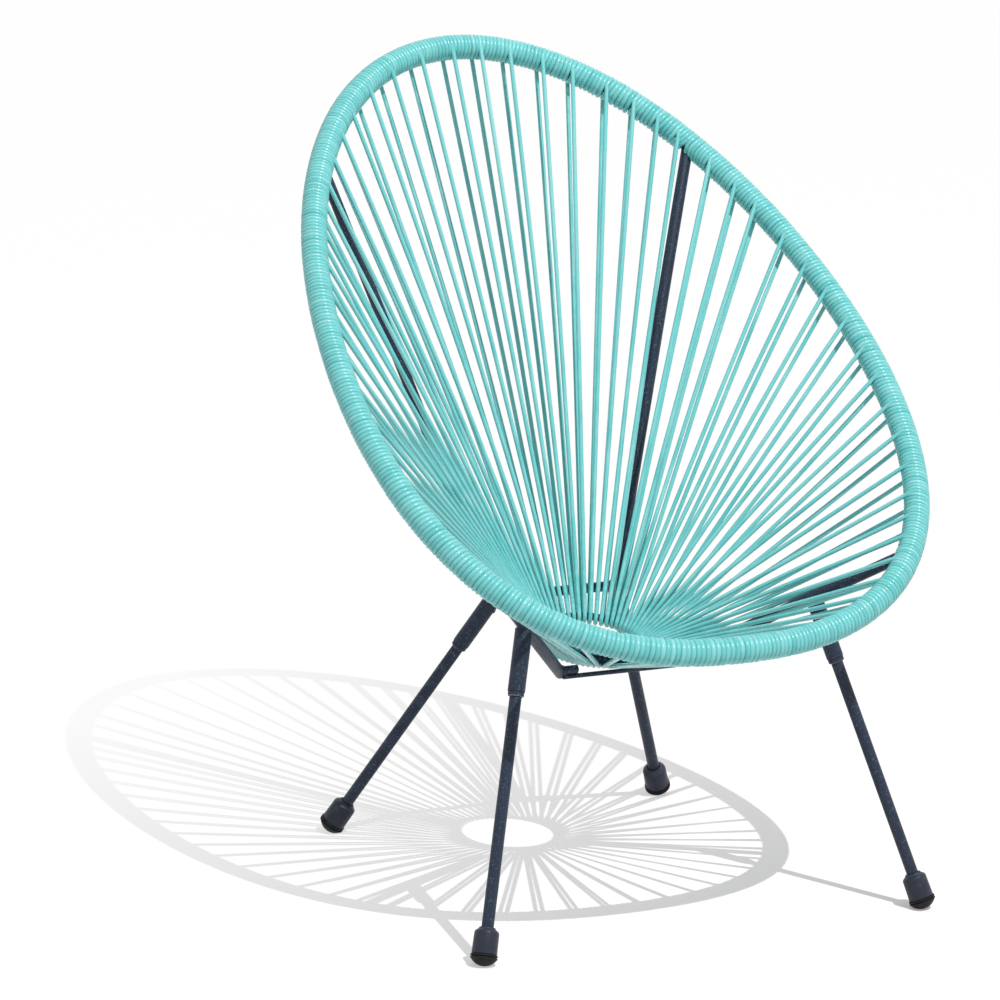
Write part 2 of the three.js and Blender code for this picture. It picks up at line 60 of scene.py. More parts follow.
Triple = tuple[float, float, float]

MM = 0.001
FULL_TURN = 2 * math.pi
UP = Vector((0, 0, 1))
MERGE = 0.002 * MM
BEVELLED = math.radians(28)
WHITE = (1.0, 1.0, 1.0, 1.0)
BLACK = (0.0, 0.0, 0.0, 1.0)
REAR_RIB_TURN = 0.599
FRONT_RIB_TURN = 1.825
LOG = logging.getLogger("chair")


class Slot(Enum):
    """The record's material slots."""

    CORD = "cord"
    STEEL = "steel"
    CAP = "cap"
    GLIDE = "glide"

    @classmethod
    def of(cls, node: str) -> "Slot":
        """The slot of a CAD node, told by its name: all but the cord and the feet are steel."""
        starts = {"seat_cord": cls.CORD, "foot_cap": cls.CAP, "foot_glide": cls.GLIDE}
        return next((slot for start, slot in starts.items() if node.startswith(start)), cls.STEEL)


class Corner(Enum):
    """The four corners of the frame, named as the nodes are."""

    REAR_LEFT = "rear_left"
    REAR_RIGHT = "rear_right"
    FRONT_LEFT = "front_left"
    FRONT_RIGHT = "front_right"

    @property
    def side(self) -> int:
        """-1 on the left and 1 on the right, as seen from the front."""
        return -1 if self.value.endswith("left") else 1

    @property
    def rear(self) -> bool:
        """True for the two corners behind the sitter."""
        return self.value.startswith("rear")


# Small tools


def unit(vectors: Rows) -> Rows:
    """Scales each row to length one."""
    return vectors / np.linalg.norm(vectors, axis=-1, keepdims=True)


def dots(first: Rows, second: Rows) -> Rows:
    """The dot product of each row with its partner."""
    return np.sum(first * second, axis=-1)


def lengths(line: Rows) -> Rows:
    """The length of a line up to each of its points."""
    return np.concatenate([[0], np.cumsum(np.linalg.norm(np.diff(line, axis=0), axis=1))])


def linear(colour: int) -> tuple[float, float, float, float]:
    """Turns an sRGB hex colour to linear light, by the standard's own constants.

    Args:
        colour: The colour as 0xRRGGBB.

    Returns:
        Red, green, blue and an alpha of one.
    """
    parts = [(colour >> shift & 0xFF) / 255 for shift in (16, 8, 0)]
    flat = [part / 12.92 if part <= 0.04045 else ((part + 0.055) / 1.055) ** 2.4 for part in parts]
    return flat[0], flat[1], flat[2], 1.0


def plug(tree: Tree, node: Node, settings: dict | None = None, links: dict | None = None) -> Node:
    """Gives a node its settings and links.

    Args:
        tree: The node's tree.
        node: The node.
        settings: Values by the name of a property, or by the name or number of an input.
        links: Output sockets of other nodes, by the name or number of the input that each feeds.

    Returns:
        The same node.
    """
    for name, value in (settings or {}).items():
        if isinstance(name, int) or name in node.inputs:
            node.inputs[name].default_value = value
        else:
            setattr(node, name, value)
    for name, socket in (links or {}).items():
        tree.links.new(socket, node.inputs[name])
    return node


def add_node(tree: Tree, kind: str, settings: dict | None = None, links: dict | None = None) -> Node:
    """Adds one shader node with its settings and links, which are as for plug."""
    return plug(tree, tree.nodes.new(f"ShaderNode{kind}"), settings, links)


def started(name: str) -> tuple[Material, Tree, Node]:
    """Starts a material, and gives it with its node tree and its shader."""
    material = bpy.data.materials.new(name)
    material.use_nodes = True
    return material, material.node_tree, material.node_tree.nodes["Principled BSDF"]


def along(start: Vector, end: Vector) -> Matrix:
    """The matrix that moves a form from the origin to the start, with its +Z towards the end."""
    turn = UP.rotation_difference((end - start).normalized()).to_matrix().to_4x4()
    return Matrix.Translation(start) @ turn


def linked(name: str, data: bpy.types.ID) -> Piece:
    """Makes an object of some data and links it to the scene."""
    piece = bpy.data.objects.new(name, data)
    bpy.context.scene.collection.objects.link(piece)
    return piece


def finish_mesh(form: Form, name: str, crease: float = 40) -> Piece:
    """Closes a form's seams, faces it outwards and makes it an object.

    Args:
        form: The mesh in the making; it is freed.
        name: The piece's name.
        crease: The angle in degrees past which an edge stays sharp in the shading.

    Returns:
        The object, linked to the scene.
    """
    bmesh.ops.remove_doubles(form, verts=form.verts, dist=MERGE)
    bmesh.ops.recalc_face_normals(form, faces=form.faces)
    mesh = bpy.data.meshes.new(name)
    form.to_mesh(mesh)
    form.free()
    mesh.shade_smooth()
    mesh.set_sharp_from_angle(angle=math.radians(crease))
    return linked(name, mesh)


def turned(outline: list[Span], steps: int, edge: float = 0.0, segments: int = 3) -> Form:
    """Spins an outline round +Z, with its edges broken.

    Args:
        outline: Radius and height of each corner, from end to end, closed by the axis or itself.
        steps: Facets in a full turn.
        edge: Width of the bevel on each sharp edge, zero for none.
        segments: Facets across the bevel.

    Returns:
        The closed form.
    """
    form = bmesh.new()
    corners = [form.verts.new((radius, 0, height)) for radius, height in outline]
    runs = [form.edges.new(pair) for pair in zip(corners, corners[1:])]
    bmesh.ops.spin(form, geom=corners + runs, cent=(0, 0, 0), axis=(0, 0, 1), angle=FULL_TURN,
                   steps=steps, use_merge=True)
    bmesh.ops.remove_doubles(form, verts=form.verts, dist=MERGE)
    bmesh.ops.recalc_face_normals(form, faces=form.faces)
    if edge:
        sharp = [rim for rim in form.edges
                 if len(rim.link_faces) == 2 and rim.calc_face_angle() > BEVELLED]
        bmesh.ops.bevel(form, geom=sharp, offset=edge, offset_type="OFFSET", segments=segments,
                        profile=0.5, affect="EDGES", material=-1, clamp_overlap=True)
    return form


def bar(ends: tuple[Vector, Vector], radius: float, name: str, sides: int, edge: float = 0.0,
        wall: float = 0.0, bore: float = 0.0) -> Piece:
    """Makes a round bar between two points, or a tube that is open at its far end.

    Args:
        ends: The bar's first and far end.
        radius: Its radius.
        name: The piece's name.
        sides: Facets round it.
        edge: The bevel at its ends.
        wall: The wall of a tube, zero for a solid bar.
        bore: How deep a tube is open.

    Returns:
        The piece.
    """
    length = (ends[1] - ends[0]).length
    outline = [(0, 0), (radius, 0), (radius, length), (0, length)]
    if wall:
        outline[3:] = [(radius - wall, length), (radius - wall, length - bore), (0, length - bore)]
    form = turned(outline, sides, edge)
    bmesh.ops.transform(form, matrix=along(*ends), verts=form.verts)
    return finish_mesh(form, name)


def swept(points: Rows, radius: float, name: str, sides: int, closed: bool = False,
          swell: Rows | None = None) -> Piece:
    """Sweeps a round section along a line of points.

    Args:
        points: Rows of x, y and z.
        radius: The section's radius.
        name: The piece's name.
        sides: Facets round the section, an even number from 4.
        closed: True for a line that runs back into its start.
        swell: A factor on the radius at each point.

    Returns:
        The mesh object, linked to the scene.
    """
    curve = bpy.data.curves.new(name, "CURVE")
    curve.dimensions = "3D"
    curve.bevel_depth = radius
    curve.bevel_resolution = sides // 2 - 2
    curve.use_fill_caps = not closed
    spline = curve.splines.new("POLY")
    spline.points.add(len(points) - 1)
    spline.points.foreach_set("co", np.hstack([points, np.ones((len(points), 1))]).ravel())
    if swell is not None:
        spline.points.foreach_set("radius", swell)
    spline.use_cyclic_u = closed
    line = bpy.data.objects.new(name, curve)
    mesh = bpy.data.meshes.new_from_object(line)
    bpy.data.objects.remove(line)
    bpy.data.curves.remove(curve)
    mesh.name = name
    mesh.shade_smooth()
    return linked(name, mesh)


# Finishes


@dataclass(frozen=True)
class ExtrudedPvcCord:
    """Plasticised PVC cord, extruded: glossy and a little waxy, with faint lines from the die."""

    shades: tuple[tuple[float, int], ...] = ((0.3, 0x5BBFBF), (0.5, 0x7BD1D1), (0.72, 0x98DDDD))
    roughness: Span = (0.21, 0.36)
    dusty_from: Span = (0.3, 0.75)
    ior: float = 1.42
    die_line: float = 0.9 * MM
    die_stretch: float = 0.02
    die_depth: float = 0.05 * MM
    die_strength: float = 0.25
    batch_length: float = 70 * MM
    batch_spread: float = 0.2
    dust_size: float = 14 * MM
    waxiness: float = 0.16
    wax_colour: Triple = (0.3, 1.0, 1.0)
    wax_depth: float = 2 * MM
    gloss: float = 0.28
    gloss_roughness: float = 0.12

    def build(self) -> Material:
        """Makes the material; die lines and shade run along the cord's own lay."""
        material, tree, shader = started("extruded_pvc_cord")
        lay = add_node(tree, "Attribute", {"attribute_name": "cord_lay"}).outputs["Vector"]
        place = add_node(tree, "TexCoord").outputs["Object"]
        # Lines from the die: real ones are 0.1 mm apart, drawn wider so that they show
        stretch = add_node(tree, "Mapping", {"Scale": (1, 1, self.die_stretch)}, {0: lay})
        lines = add_node(tree, "TexNoise", {"Scale": 1 / self.die_line, "Detail": 2.0},
                         {"Vector": stretch.outputs[0]})
        # Shade drifts along the cord, as in any long extrusion
        drift = add_node(tree, "Mapping", {"Scale": (self.batch_spread, self.batch_spread, 1)}, {0: lay})
        shade = add_node(tree, "TexNoise", {"Scale": 1 / self.batch_length, "Detail": 3.0},
                         {"Vector": drift.outputs[0]})
        ramp = add_node(tree, "ValToRGB", {}, {"Fac": shade.outputs["Fac"]})
        stops = ramp.color_ramp.elements
        stops.new(self.shades[1][0])
        for stop, (position, colour) in zip(stops, self.shades):
            stop.position = position
            stop.color = linear(colour)
        dust = add_node(tree, "TexNoise", {"Scale": 1 / self.dust_size, "Detail": 5.0}, {"Vector": place})
        rough = add_node(tree, "MapRange", {
            "From Min": self.dusty_from[0], "From Max": self.dusty_from[1],
            "To Min": self.roughness[0], "To Max": self.roughness[1]}, {"Value": dust.outputs["Fac"]})
        skin = add_node(tree, "Bump", {"Strength": self.die_strength, "Distance": self.die_depth},
                        {"Height": lines.outputs["Fac"]})
        plug(tree, shader, {
            "IOR": self.ior, "Coat Weight": self.gloss, "Coat Roughness": self.gloss_roughness,
            "Subsurface Weight": self.waxiness, "Subsurface Radius": self.wax_colour,
            "Subsurface Scale": self.wax_depth,
        }, {"Base Color": ramp.outputs["Color"], "Roughness": rough.outputs[0], "Normal": skin.outputs[0]})
        return material


@dataclass(frozen=True)
class PowderCoatedSteel:
    """Polyester powder baked on steel: blue-black with an orange-peel skin, and a fine sparkle painted as
    lighter flecks.
    """

    name: str = "powder_coated_steel"
    colour: int = 0x2B3545
    # Painted glint: the flecks' lighter colour, the span of the Voronoi over which it shows, and its
    # greatest share
    painted_glint: int = 0x66718A
    painted_glint_from: Span = (0.72, 0.95)
    painted_glint_share: float = 0.6
    roughness: Span = (0.32, 0.5)
    cloudy_from: Span = (0.3, 0.7)
    ior: float = 1.3
    peel: float = 1.6 * MM
    peel_depth: float = 0.2 * MM
    peel_strength: float = 0.6
    fleck: float = 1.4 * MM
    cloud: float = 55.5556 * MM

    def build(self) -> Material:
        """Makes the material from its colours, peel and fleck sizes."""
        material, tree, shader = started(self.name)
        place = add_node(tree, "TexCoord").outputs["Object"]
        # Peel of about a millimetre, where the powder flowed as it baked
        peel = add_node(tree, "TexNoise", {"Scale": 1 / self.peel, "Detail": 3.0}, {"Vector": place})
        # Flecks of the metallic powder, painted lighter than the coat as a painted glint: real ones are 0.1
        # mm, drawn larger so that they show
        fleck = add_node(tree, "TexVoronoi", {"Scale": 1 / self.fleck}, {"Vector": place})
        painted_glint = add_node(tree, "MapRange", {
            "From Min": self.painted_glint_from[0], "From Max": self.painted_glint_from[1],
            "To Max": self.painted_glint_share}, {"Value": fleck.outputs["Color"]})
        tone = add_node(tree, "Mix", {
            "data_type": "RGBA", 6: linear(self.colour), 7: linear(self.painted_glint)}, {0: painted_glint.outputs[0]})
        cloud = add_node(tree, "TexNoise", {"Scale": 1 / self.cloud, "Detail": 4.0}, {"Vector": place})
        rough = add_node(tree, "MapRange", {
            "From Min": self.cloudy_from[0], "From Max": self.cloudy_from[1],
            "To Min": self.roughness[0], "To Max": self.roughness[1]}, {"Value": cloud.outputs["Fac"]})
        skin = add_node(tree, "Bump", {"Strength": self.peel_strength, "Distance": self.peel_depth},
                        {"Height": peel.outputs["Fac"]})
        plug(tree, shader, {"IOR": self.ior}, {
            "Base Color": tone.outputs[2], "Roughness": rough.outputs[0], "Normal": skin.outputs[0]})
        return material


@dataclass(frozen=True)
class BareMildSteel:
    """Mild steel left bare where a tube was sawn: dull grey with patches of brown rust."""

    colour: int = 0x8C8A88
    rust: int = 0x6A5244
    rust_from: Span = (0.48, 0.64)
    roughness: float = 0.55
    metal: float = 0.6
    patch: float = 3 * MM
    pit_depth: float = 0.05 * MM
    pit_strength: float = 0.5

    def build(self) -> Material:
        """Makes the material from its colours and the size of its rust patches."""
        material, tree, shader = started("sawn_mild_steel")
        place = add_node(tree, "TexCoord").outputs["Object"]
        patch = add_node(tree, "TexNoise", {"Scale": 1 / self.patch, "Detail": 4.0}, {"Vector": place})
        rusted = add_node(tree, "MapRange", {
            "From Min": self.rust_from[0], "From Max": self.rust_from[1]}, {"Value": patch.outputs["Fac"]})
        tone = add_node(tree, "Mix", {
            "data_type": "RGBA", 6: linear(self.colour), 7: linear(self.rust)}, {0: rusted.outputs[0]})
        skin = add_node(tree, "Bump", {"Strength": self.pit_strength, "Distance": self.pit_depth},
                        {"Height": patch.outputs["Fac"]})
        plug(tree, shader, {"Roughness": self.roughness, "Metallic": self.metal}, {
            "Base Color": tone.outputs[2], "Normal": skin.outputs[0]})
        return material


@dataclass(frozen=True)
class MouldedPlastic:
    """Injection moulding: an even, slightly satin skin with faint flow marks and scuffs."""

    name: str
    colour: int
    scuffed: int
    roughness: Span
    grain: float
    grain_depth: float
    scuff: float
    grain_strength: float = 0.4
    scuff_from: Span = (0.52, 0.7)
    scuff_share: float = 0.6
    dull_from: Span = (0.3, 0.7)
    ior: float = 1.35

    def build(self) -> Material:
        """Makes the material from its colours, grain and scuff sizes."""
        material, tree, shader = started(self.name)
        place = add_node(tree, "TexCoord").outputs["Object"]
        grain = add_node(tree, "TexNoise", {"Scale": 1 / self.grain, "Detail": 2.0}, {"Vector": place})
        scuff = add_node(tree, "TexNoise", {"Scale": 1 / self.scuff, "Detail": 6.0}, {"Vector": place})
        worn = add_node(tree, "MapRange", {
            "From Min": self.scuff_from[0], "From Max": self.scuff_from[1],
            "To Max": self.scuff_share}, {"Value": scuff.outputs["Fac"]})
        tone = add_node(tree, "Mix", {
            "data_type": "RGBA", 6: linear(self.colour), 7: linear(self.scuffed)}, {0: worn.outputs[0]})
        rough = add_node(tree, "MapRange", {
            "From Min": self.dull_from[0], "From Max": self.dull_from[1],
            "To Min": self.roughness[0], "To Max": self.roughness[1]}, {"Value": scuff.outputs["Fac"]})
        skin = add_node(tree, "Bump", {"Strength": self.grain_strength, "Distance": self.grain_depth},
                        {"Height": grain.outputs["Fac"]})
        plug(tree, shader, {"IOR": self.ior}, {
            "Base Color": tone.outputs[2], "Roughness": rough.outputs[0], "Normal": skin.outputs[0]})
        return material


WELD_COAT = PowderCoatedSteel("powder_coated_weld", peel=2.6 * MM, peel_depth=0.5 * MM)
CAP_PLASTIC = MouldedPlastic(
    "moulded_polyethylene_cap", colour=0x272D3A, scuffed=0x3C4454, roughness=(0.36, 0.54),
    grain=0.9 * MM, grain_depth=0.05 * MM, scuff=9 * MM)
GLIDE_RUBBER = MouldedPlastic(
    "moulded_rubber_glide", colour=0x0B0C10, scuffed=0x22242B, roughness=(0.56, 0.74),
    grain=0.7 * MM, grain_depth=0.08 * MM, scuff=6 * MM)


@dataclass
class Wardrobe:
    """The chair's finishes, each made once."""

    cord: Material = field(default_factory=ExtrudedPvcCord().build)
    steel: Material = field(default_factory=PowderCoatedSteel().build)
    weld: Material = field(default_factory=WELD_COAT.build)
    sawn: Material = field(default_factory=BareMildSteel().build)
    cap: Material = field(default_factory=CAP_PLASTIC.build)
    glide: Material = field(default_factory=GLIDE_RUBBER.build)

    def dress(self, name: str, piece: Piece) -> None:
        """Gives a piece the finish of its slot and its body, and hides the CAD node that it replaces, if
        any.

        Args:
            name: The node that the piece replaces; a weld bead's own name, since it replaces none.
            piece: The finished piece.
        """
        slot, weld = Slot.of(name), "weld" in name
        material = self.weld if weld else getattr(self, slot.value)
        piece.data.materials.clear()
        piece.data.materials.append(material)
        if not weld:
            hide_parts(name)
        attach(piece, "root")
        LOG.info("%s: %d faces, %s", piece.name, len(piece.data.polygons), material.name)


class SubAssembly(ABC):
    """Pieces of the chair that are built and dressed together."""

    @abstractmethod
    def build(self) -> dict[str, Piece]:
        """Makes the pieces, each under the name of its CAD node, and a weld bead under its own."""

    def dress(self, pieces: dict[str, Piece], wardrobe: Wardrobe) -> None:
        """Gives each piece its finish and body, and hides the CAD nodes that they replace."""
        for name, piece in pieces.items():
            wardrobe.dress(name, piece)


# Lines of the hoop and the centre ring


@dataclass
class HoopFrames:
    """Places along the hoop: centre, outward from the ring, and out of the seat."""

    centre: Rows
    outward: Rows
    inner: Rows

    def around(self, swing: Rows, radius: float | Rows) -> Rows:
        """Points at a swing and a distance from the hoop's line, one for each place."""
        return (self.centre + (radius * np.cos(swing))[:, None] * self.outward
                + (radius * np.sin(swing))[:, None] * self.inner)


@dataclass(frozen=True)
class RingLine:
    """The small ring that gathers the lacing."""

    radius: float = 62 * MM
    bar: float = 4.5 * MM
    centre: Triple = (0.0, -30.9 * MM, 275.7 * MM)
    tilt: float = math.radians(9.45)

    def axes(self, angle: float) -> tuple[Rows, Rows, Rows]:
        """A place on the bar with its two cross directions.

        Args:
            angle: The angle round the ring, zero at its back.

        Returns:
            The bar's centre, the direction away from the ring's middle, and the ring's normal.
        """
        outward = np.array([math.sin(angle), math.cos(angle) * math.cos(self.tilt),
                            math.cos(angle) * math.sin(self.tilt)])
        normal = np.array([0.0, -math.sin(self.tilt), math.cos(self.tilt)])
        return np.array(self.centre) + self.radius * outward, outward, normal


@dataclass
class HoopLine:
    """The hoop's centre line, with lengths measured along it."""

    across: float = 311.1 * MM
    across_shares: Floats = (1, 0.2636, -0.0212, 0.0103)
    along: float = 358.3 * MM
    along_shares: Floats = (1, 0.3003, 0.0243, -0.0022)
    rise: float = 273.3 * MM
    rise_shares: Floats = (1, 0.2814, 0.0187, 0.0022)
    mid_along: float = -106.9 * MM
    mid_height: float = 552.1 * MM
    tube: float = 10 * MM
    samples: int = 7200
    tangent_step: float = FULL_TURN / 2400
    ring_centre: Triple = RingLine().centre

    def __post_init__(self) -> None:
        """Measures the line once."""
        self.turns = np.linspace(0, FULL_TURN, self.samples + 1)
        self.arcs = lengths(self.points(self.turns))
        self.length = float(self.arcs[-1])

    def points(self, turns: Rows) -> Rows:
        """Points of the line, as rows of x, y and z for the turns."""
        def wave(size: float, shares: Floats, shape: np.ufunc) -> Rows:
            """One coordinate as a sum of overtones."""
            return sum(size * share * shape((at + 1) * turns) for at, share in enumerate(shares))
        return np.stack([wave(self.across, self.across_shares, np.sin),
                         self.mid_along + wave(self.along, self.along_shares, np.cos),
                         self.mid_height + wave(self.rise, self.rise_shares, np.cos)], axis=-1)

    def arc_of(self, turn: float) -> float:
        """The arc at a turn, negative for a negative turn."""
        return math.copysign(float(np.interp(abs(turn), self.turns, self.arcs)), turn)

    def frames(self, arcs: Rows) -> HoopFrames:
        """Frames at places along the hoop.

        Args:
            arcs: Lengths along the hoop, which may pass its start or end.

        Returns:
            The frames, one row for each arc.
        """
        turns = np.interp(np.mod(arcs, self.length), self.arcs, self.turns)
        centre = self.points(turns)
        tangent = unit(self.points(turns + self.tangent_step) - self.points(turns - self.tangent_step))
        outward = centre - np.array(self.ring_centre)
        outward = unit(outward - dots(outward, tangent)[:, None] * tangent)
        return HoopFrames(centre, outward, unit(np.cross(tangent, outward)))


# The cord


@dataclass
class LaceEnds:
    """Where a lace leaves the hoop, rounds the ring in a bend and lands on the hoop again."""

    leave_arc: float
    leave_swing: float
    bend: Rows
    land_arc: float
    land_swing: float


@dataclass
class SeatCord(SubAssembly):
    """One long cord, wound round the hoop and laced to the centre ring and back."""

    hoop: HoopLine
    ring: RingLine
    radius: float = 2.62 * MM
    lay_radius: float = 12.5 * MM
    sides: int = 10
    # Turns: those beside a lace close up to it, and all press on each other a little
    pitch_span: float = 160 * MM
    pitches: Floats = (
        4.92, 5.3, 4.9, 4.81, 4.98, 4.92, 5.13, 5.6, 5.87, 5.5, 5.4, 5.2, 5.0, 5.18, 5.18, 4.8)
    steps_per_turn: int = 28
    squeeze: float = 1.12
    swell_rate: float = 40.0
    close_share: float = 0.48
    close_power: float = 0.7
    # Slack: slow waves, in radians of swing, that shift and lift the turns
    seed: int = 11
    looseness: float = 0.35 * MM
    slack_waves: Span = (2.3, 5.1)
    lift_wave: float = 3.7
    lift_share: float = 0.006
    ease_rate: float = 6.0
    # Ribs: they push the turns aside where they join the hoop
    rib_turns: Floats = (
        -REAR_RIB_TURN, REAR_RIB_TURN, FRONT_RIB_TURN, FULL_TURN - FRONT_RIB_TURN)
    rib_push: float = 6.2 * MM
    rib_reach: float = 22 * MM
    rib_swing: float = math.radians(155)
    rib_power: float = 1.2
    # Laces: their arcs in millimetres, bay by bay, and how they gather at the ring
    back_laces: Floats = (
        -304, -258, -216, -164, -114, -61, -13, 26, 65, 108, 148, 195, 234, 270, 302)
    right_laces: Floats = (
        354, 398, 435, 490, 537, 582, 631, 677, 719, 764, 809, 858, 902, 938, 972)
    front_start: float = 1011.4
    front_pitch: float = 42.82
    front_count: int = 14
    left_laces: Floats = (
        -975, -941, -899, -855, -810, -765, -721, -676, -630, -582, -530, -480, -431, -385, -349)
    middle_lace: int = 7
    station_shift: float = 0.8 * MM
    gather_turn: float = -0.4
    gather_front: float = 1.35
    tangent_rounds: int = 5
    bend_points: int = 13
    strand_shares: Floats = (0.01, 0.03, 0.08, 0.3, 0.5, 0.7, 0.92, 0.97, 0.99)
    sector_laces: tuple[int, ...] = (5, 5, 5, 5, 5, 5, 5, 4, 5, 5, 5, 5)

    def __post_init__(self) -> None:
        """Lays out the laces, the ribs between them and the slack of each winding."""
        front = [self.front_start + at * self.front_pitch for at in range(self.front_count)]
        left = [self.hoop.length / MM + arc for arc in self.left_laces]
        self.stations = np.array([*self.back_laces, *self.right_laces, *front, *left]) * MM
        self.count = len(self.stations)
        bays = [len(self.back_laces), len(self.right_laces), len(front)]
        self.bay_starts = [sum(bays[:at]) for at in range(len(self.rib_turns))]
        ribs = [self.hoop.arc_of(turn) for turn in self.rib_turns]
        self.rib_arcs = np.array(ribs + [ribs[0] + self.hoop.length])
        self.waves = np.random.default_rng(self.seed).uniform(0, FULL_TURN, (self.count, 3))

    def station(self, lace: int) -> float:
        """The arc where a lace lands on the hoop; lace numbers run on past a full lap."""
        laps, at = divmod(lace, self.count)
        return float(self.stations[at] + self.station_shift + laps * self.hoop.length)

    def turns_after(self, lace: int) -> int:
        """Whole turns of cord between a lace and the next, as many as lie side by side."""
        start, end = self.station(lace), self.station(lace + 1)
        span = int((start + end) / 2 % self.hoop.length / self.pitch_span)
        pitch = self.pitches[min(span, len(self.pitches) - 1)] * MM
        return round((end - start) / pitch)

    def pitch_after(self, lace: int) -> float:
        """Spacing of the turns between a lace and the next."""
        return (self.station(lace + 1) - self.station(lace)) / self.turns_after(lace)

    def border(self, lace: int) -> float:
        """The arc where a sector that starts with a lace begins: at a rib, or midway between laces."""
        laps, at = divmod(lace, self.count)
        if at in self.bay_starts:
            return float(self.rib_arcs[self.bay_starts.index(at) + laps * len(self.rib_turns)])
        return (self.station(lace - 1) + self.station(lace)) / 2

    def ends(self, lace: int) -> LaceEnds:
        """Finds the tangents of a lace by turns at the hoop and at the ring.

        Args:
            lace: The lace's number.

        Returns:
            Its places on the hoop and its bend round the ring.
        """
        step = FULL_TURN / self.count
        angle = (lace % self.count - self.middle_lace) * step
        # The laces gather a little towards the front of the ring
        angle += (self.gather_turn + self.gather_front * math.sin(angle)) * step
        bar, out, up = self.ring.axes(angle)
        bend = self.ring.bar + self.radius
        land_arc = self.station(lace)
        leave_arc = land_arc - self.pitch_after(lace - 1) / 2
        places = self.hoop.frames(np.array([leave_arc, land_arc]))
        swings = np.array([-math.pi / 2, math.pi / 2])
        rolls = np.array([-math.pi / 2, -1.5 * math.pi])
        for _ in range(self.tangent_rounds):
            hoop_ends = places.around(swings, self.lay_radius)
            ring_ends = bar + bend * (np.cos(rolls)[:, None] * out + np.sin(rolls)[:, None] * up)
            run = unit(np.stack([ring_ends[0] - hoop_ends[0], hoop_ends[1] - ring_ends[1]]))
            swings = np.arctan2(dots(run, places.outward), -dots(run, places.inner))
            rolls = np.arctan2(run @ out, -(run @ up)) - np.array([0, FULL_TURN])
        sweep = np.linspace(rolls[0], rolls[1], self.bend_points)[:, None]
        return LaceEnds(leave_arc, swings[0], bar + bend * (np.cos(sweep) * out + np.sin(sweep) * up),
                        land_arc, swings[1])

    def winding(self, lace: int) -> tuple[Rows, Rows]:
        """The cord from where a lace lands to where the next one leaves.

        Args:
            lace: The number of the lace that lands.

        Returns:
            Rows of x, y, z and the cord's swell, and the arc that each row belongs to.
        """
        here, after = self.ends(lace), self.ends(lace + 1)
        sweep = here.land_swing - after.leave_swing + FULL_TURN * (self.turns_after(lace) - 1)
        count = round(sweep / FULL_TURN * self.steps_per_turn)
        share = np.linspace(0, 1, count + 1)
        to_end = np.minimum(share, 1 - share)
        swing = here.land_swing - sweep * share
        arcs = here.land_arc + (after.leave_arc - here.land_arc) * share
        ease = np.minimum(1, self.ease_rate * to_end)
        first, second, third = self.waves[lace % self.count]
        short, long = self.slack_waves
        slack = (np.sin(swing / short + first) + np.sin(swing / long + second)) * self.looseness / 2
        pitch = self.pitch_after(lace)
        # The side that faces the ring has one turn fewer, so the turns there close up to the lace
        facing = np.clip(-np.cos(swing), 0, 1) ** self.close_power
        closing = self.close_share * pitch * (2 * share - 1) * facing
        laid = arcs + slack * ease + closing + self.parting(arcs, swing)
        lift = self.lay_radius * (1 + self.lift_share * np.sin(swing / self.lift_wave + third) * ease)
        points = self.hoop.frames(laid).around(swing, lift)
        full = self.squeeze * pitch / (2 * self.radius)
        swell = 1 + (full - 1) * np.minimum(1, self.swell_rate * to_end)
        return np.hstack([points, swell[:, None]]), arcs

    def parting(self, arcs: Rows, swing: Rows) -> Rows:
        """How far the ribs push the turns aside on the side where they join the hoop.

        Args:
            arcs: The turns' places along the hoop.
            swing: The swing at each place.

        Returns:
            A shift along the hoop for each place.
        """
        facing = np.clip(np.cos(swing + self.rib_swing), 0, 1) ** self.rib_power
        shift = np.zeros_like(arcs)
        for rib in self.rib_arcs:
            away = arcs - rib
            shift += self.rib_push * facing * np.sign(away) * np.exp(-np.abs(away) / self.rib_reach)
        return shift

    def strand(self, start: Rows, end: Rows) -> Rows:
        """The inner points of a straight run between two ends, closer near the ends."""
        return start + (end - start) * np.array(self.strand_shares)[:, None]

    def route(self, first: int, last: int) -> Rows:
        """The cord's line through one sector.

        Args:
            first: The sector's first lace.
            last: Its last lace.

        Returns:
            Rows of x, y, z and the cord's swell.
        """
        points, arcs = self.winding(first - 1)
        parts = [points[np.searchsorted(arcs, self.border(first)):]]
        for lace in range(first, last + 1):
            bend = self.ends(lace).bend
            bend = np.hstack([bend, np.ones((len(bend), 1))])
            turns, arcs = self.winding(lace)
            if lace == last:
                turns = turns[:np.searchsorted(arcs, self.border(last + 1)) + 1]
            parts += [self.strand(parts[-1][-1], bend[0]), bend, self.strand(bend[-1], turns[0]), turns]
        return np.vstack(parts)

    def build(self) -> dict[str, Piece]:
        """Makes the twelve lengths of cord, one for each sector."""
        pieces, run, first = {}, 0.0, 0
        for number, count in enumerate(self.sector_laces, 1):
            route = self.route(first, first + count - 1)
            line = route[:, :3]
            piece = swept(line, self.radius, f"cord_sector_{number:02d}", self.sides, swell=route[:, 3])
            run = self.mark_lay(piece, line, run)
            pieces[f"seat_cord_{number:02d}"] = piece
            first += count
        LOG.info("cord laid: %.1f m", run)
        return pieces

    def mark_lay(self, piece: Piece, line: Rows, run: float) -> float:
        """Stores where each point was on the straight cord, for finishes that follow it.

        Args:
            piece: The swept cord.
            line: The line it was swept along.
            run: The length of cord laid before this piece.

        Returns:
            The length laid after it.
        """
        length = run + lengths(line)
        angle = np.arange(self.sides) * FULL_TURN / self.sides
        lay = np.zeros((len(piece.data.vertices), 3))
        rows = len(line) * self.sides
        lay[:rows, 0] = np.tile(np.cos(angle) * self.radius, len(line))
        lay[:rows, 1] = np.tile(np.sin(angle) * self.radius, len(line))
        lay[:rows, 2] = np.repeat(length, self.sides)
        mark = piece.data.attributes.new("cord_lay", "FLOAT_VECTOR", "POINT")
        mark.data.foreach_set("vector", lay.ravel())
        return float(length[-1])


# The steel frame


